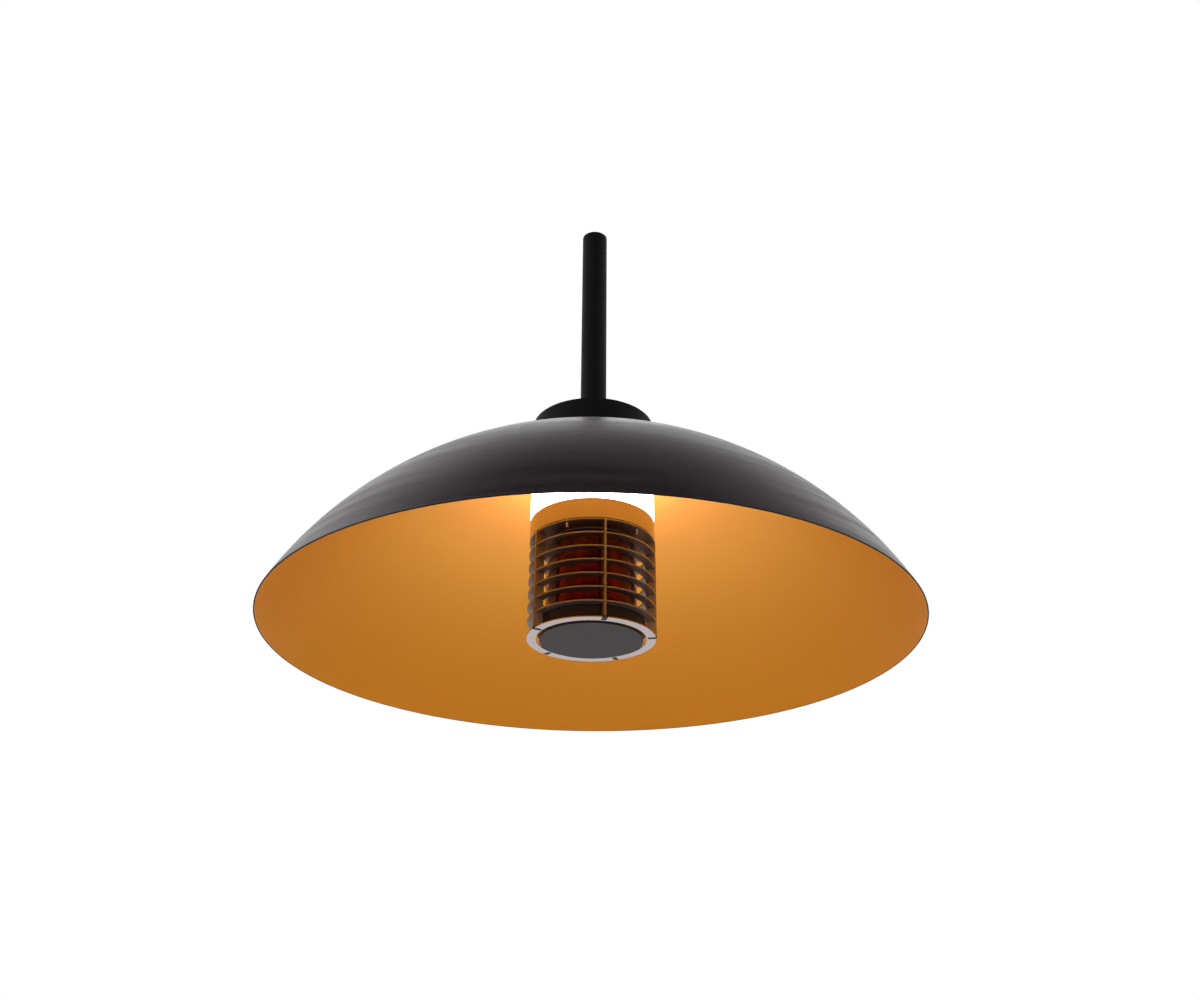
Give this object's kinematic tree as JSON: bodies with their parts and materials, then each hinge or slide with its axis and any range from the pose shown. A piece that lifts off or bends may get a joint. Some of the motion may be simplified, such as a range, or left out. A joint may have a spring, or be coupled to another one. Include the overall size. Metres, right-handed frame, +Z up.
{
  "type": "hanging patio heater",
  "caption": "Ceiling-hung electric patio heater: wide spun dome shade on a tube, with a glowing drum and a louvred ruby-glass infrared lamp head at its centre.",
  "frame": {"origin": "centre of the top end of the ceiling tube, where the ceiling fitting takes it", "axes": "+Z up along the tube, +X along the cross bolt hole, -Y to the front"},
  "size_m": [1.0299, 1.03, 0.792],
  "materials": {
    "black_powder_coat": "satin black powder coat",
    "dark_shade_metal": "spun aluminium, dark grey brushed outside, warm gold inside",
    "zinc_steel": "zinc plated steel",
    "black_rubber": "matt rubber",
    "glass_gasket_fibre": "woven glass fibre gasket",
    "bush_plastic": "moulded black nylon",
    "terminal_plastic": "moulded off-white plastic",
    "module_plastic": "moulded dark plastic",
    "driver_case": "moulded white plastic",
    "lead_insulation": "extruded heat-proof insulation",
    "earth_brass": "plain brass",
    "mill_aluminium": "mill finish",
    "strip_board": "white circuit board",
    "light_chip": "lit phosphor",
    "opal_diffuser": "opal, lit from inside",
    "white_silicone": "white silicone",
    "satin_bronze_steel": "satin stainless steel",
    "insulation_board": "pressed ceramic fibre board",
    "shield_steel": "bright rolled stainless steel",
    "lamp_ceramic": "unglazed white ceramic",
    "ruby_quartz": "ruby coated quartz",
    "heating_wire": "glowing tungsten wire",
    "polished_reflector": "polished",
    "ruby_glass": "polished dark ruby glass",
    "graphite_disc": "smooth matt graphite grey coat"
  },
  "bodies": {
    "heater": {"suspension_tube": "black_powder_coat", "lower_housing": "black_powder_coat", "dome_shade": "dark_shade_metal", "hub_collar": "zinc_steel", "hub_clamp_screws": "zinc_steel", "hub_bolts": "zinc_steel", "hub_nuts": "zinc_steel", "support_plate": "zinc_steel", "fixing_screws": "zinc_steel", "tie_rods": "zinc_steel", "tie_rod_nuts": "zinc_steel", "tie_rod_spacers": "zinc_steel", "band_screws": "zinc_steel", "centre_rod": "zinc_steel", "centre_rod_nuts": "zinc_steel", "disc_screws": "zinc_steel", "hub_gasket": "black_rubber", "cable_grommet": "black_rubber", "seam_gasket": "black_rubber", "glass_seals": "glass_gasket_fibre", "terminal_block": "terminal_plastic", "control_module": "module_plastic", "led_driver": "driver_case", "feed_leads": "lead_insulation", "lamp_leads": "lead_insulation", "earth_stud": "earth_brass", "led_floor_plate": "mill_aluminium", "led_drum": "mill_aluminium", "led_strips": "strip_board", "led_chips": "light_chip", "led_diffuser": "opal_diffuser", "diffuser_seals": "white_silicone", "collar_band": "satin_bronze_steel", "cage_top_plate": "satin_bronze_steel", "bottom_ring": "satin_bronze_steel", "louvre_ring_1": "satin_bronze_steel", "louvre_ring_2": "satin_bronze_steel", "louvre_ring_3": "satin_bronze_steel", "louvre_ring_4": "satin_bronze_steel", "louvre_ring_5": "satin_bronze_steel", "louvre_ring_6": "satin_bronze_steel", "cage_fin_1": "satin_bronze_steel", "cage_fin_2": "satin_bronze_steel", "cage_fin_3": "satin_bronze_steel", "cage_fin_4": "satin_bronze_steel", "cage_fin_5": "satin_bronze_steel", "insulation_pad": "insulation_board", "heat_shield": "shield_steel", "upper_lamp_holders": "lamp_ceramic", "lower_lamp_holders": "lamp_ceramic", "lamp_end_caps": "lamp_ceramic", "lamp_tubes": "ruby_quartz", "lamp_filaments": "heating_wire", "centre_reflector": "polished_reflector", "ruby_glass": "ruby_glass", "bottom_disc": "graphite_disc"},
    "cap": {"cover_cap": "black_powder_coat", "cap_bush": "bush_plastic", "cap_seal": "black_rubber"}
  },
  "joints": [
    {"name": "cap_lift", "type": "slide", "parent": "heater", "child": "cap", "axis": [0, 0, 1], "range_m": [0, 0.3]}
  ]
}
